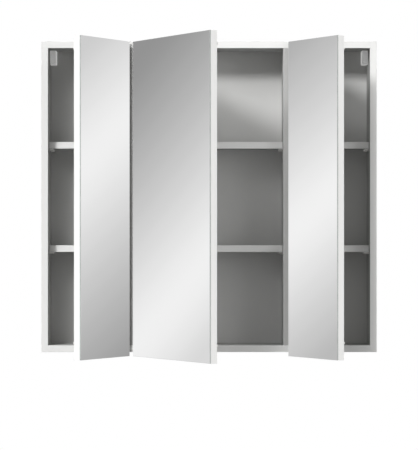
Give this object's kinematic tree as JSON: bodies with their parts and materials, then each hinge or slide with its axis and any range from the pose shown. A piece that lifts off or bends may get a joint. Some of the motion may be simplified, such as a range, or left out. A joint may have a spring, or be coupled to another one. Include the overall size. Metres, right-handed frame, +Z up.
{
  "type": "mirror cabinet",
  "caption": "Wall cabinet for a bathroom with mirrored doors on concealed hinges, shelves behind them, and hangers that hook onto wall plates.",
  "frame": {"origin": "centre of the four wall-screw holes, on the wall plane", "axes": "+X to the right seen from the room, +Y into the wall, +Z up"},
  "size_m": [0.8, 0.4653, 0.75],
  "materials": {
    "white_board": "white foil on particle board, satin",
    "back_board": "white lacquer on thin fibreboard, matt",
    "mirror_glass": "silvered float glass, polished",
    "nickel_steel": "nickel plate, bright",
    "screw_steel": "zinc plate, satin",
    "zinc_steel": "zinc-plated sheet, satin",
    "cast_zinc": "cast zinc, matt",
    "cover_plastic": "light grey moulded plastic, matt",
    "bumper_rubber": "clear soft pad",
    "dowel_beech": "fluted beech"
  },
  "bodies": {
    "cabinet": {"back_panel": "back_board", "bottom_panel": "white_board", "cam_bolts": "screw_steel", "cam_housings": "cast_zinc", "dowels": "dowel_beech", "hanger_adjusters": "screw_steel", "hanger_screws": "screw_steel", "hinge_arm_pins": "screw_steel", "hinge_arm_screws": "screw_steel", "hinge_plate_screws": "screw_steel", "hinge_plates": "nickel_steel", "left_hanger_body": "cast_zinc", "left_hanger_cover": "cover_plastic", "left_hanger_hook": "zinc_steel", "left_hinge_arms": "nickel_steel", "left_lower_shelf": "white_board", "left_partition": "white_board", "left_side_panel": "white_board", "left_upper_shelf": "white_board", "left_wall_plate": "zinc_steel", "middle_hinge_arms": "nickel_steel", "middle_lower_shelf": "white_board", "middle_upper_shelf": "white_board", "partition_screws": "screw_steel", "right_hanger_body": "cast_zinc", "right_hanger_cover": "cover_plastic", "right_hanger_hook": "zinc_steel", "right_hinge_arms": "nickel_steel", "right_lower_shelf": "white_board", "right_partition": "white_board", "right_side_panel": "white_board", "right_upper_shelf": "white_board", "right_wall_plate": "zinc_steel", "shelf_pins": "screw_steel", "top_panel": "white_board"},
    "left_links": {"left_hinge_links": "nickel_steel"},
    "left_door": {"left_door_panel": "white_board", "left_door_mirror": "mirror_glass", "left_upper_hinge_cup": "nickel_steel", "left_lower_hinge_cup": "nickel_steel", "left_cup_pins": "screw_steel", "left_cup_screws": "screw_steel", "left_door_bumpers": "bumper_rubber"},
    "middle_links": {"middle_hinge_links": "nickel_steel"},
    "middle_door": {"middle_door_panel": "white_board", "middle_door_mirror": "mirror_glass", "middle_upper_hinge_cup": "nickel_steel", "middle_lower_hinge_cup": "nickel_steel", "middle_cup_pins": "screw_steel", "middle_cup_screws": "screw_steel", "middle_door_bumpers": "bumper_rubber"},
    "right_links": {"right_hinge_links": "nickel_steel"},
    "right_door": {"right_door_panel": "white_board", "right_door_mirror": "mirror_glass", "right_upper_hinge_cup": "nickel_steel", "right_lower_hinge_cup": "nickel_steel", "right_cup_pins": "screw_steel", "right_cup_screws": "screw_steel", "right_door_bumpers": "bumper_rubber"}
  },
  "joints": [
    {"name": "left_link_swing", "type": "hinge", "parent": "cabinet", "child": "left_links", "pos_m": [-0.2155, -0.1305, 0], "axis": [0, 0, 1], "range_deg": [-10, 20]},
    {"name": "left_door_swing", "type": "hinge", "parent": "left_links", "child": "left_door", "pos_m": [-0.20534, -0.15229, 0], "axis": [0, 0, 1], "range_deg": [-80, 40]},
    {"name": "middle_link_swing", "type": "hinge", "parent": "cabinet", "child": "middle_links", "pos_m": [-0.1545, -0.1305, 0], "axis": [0, 0, -1], "range_deg": [-10, 20]},
    {"name": "middle_door_swing", "type": "hinge", "parent": "middle_links", "child": "middle_door", "pos_m": [-0.16466, -0.15229, 0], "axis": [0, 0, -1], "range_deg": [-80, 40]},
    {"name": "right_link_swing", "type": "hinge", "parent": "cabinet", "child": "right_links", "pos_m": [0.2155, -0.1305, 0], "axis": [0, 0, -1], "range_deg": [-11.67, 20]},
    {"name": "right_door_swing", "type": "hinge", "parent": "right_links", "child": "right_door", "pos_m": [0.20534, -0.15229, 0], "axis": [0, 0, -1], "range_deg": [-80, 46.67]}
  ],
  "couplings": [
    {"joint": "left_link_swing", "follows": "left_door_swing", "ratio": -0.25},
    {"joint": "middle_link_swing", "follows": "middle_door_swing", "ratio": -0.25},
    {"joint": "right_link_swing", "follows": "right_door_swing", "ratio": -0.25}
  ]
}
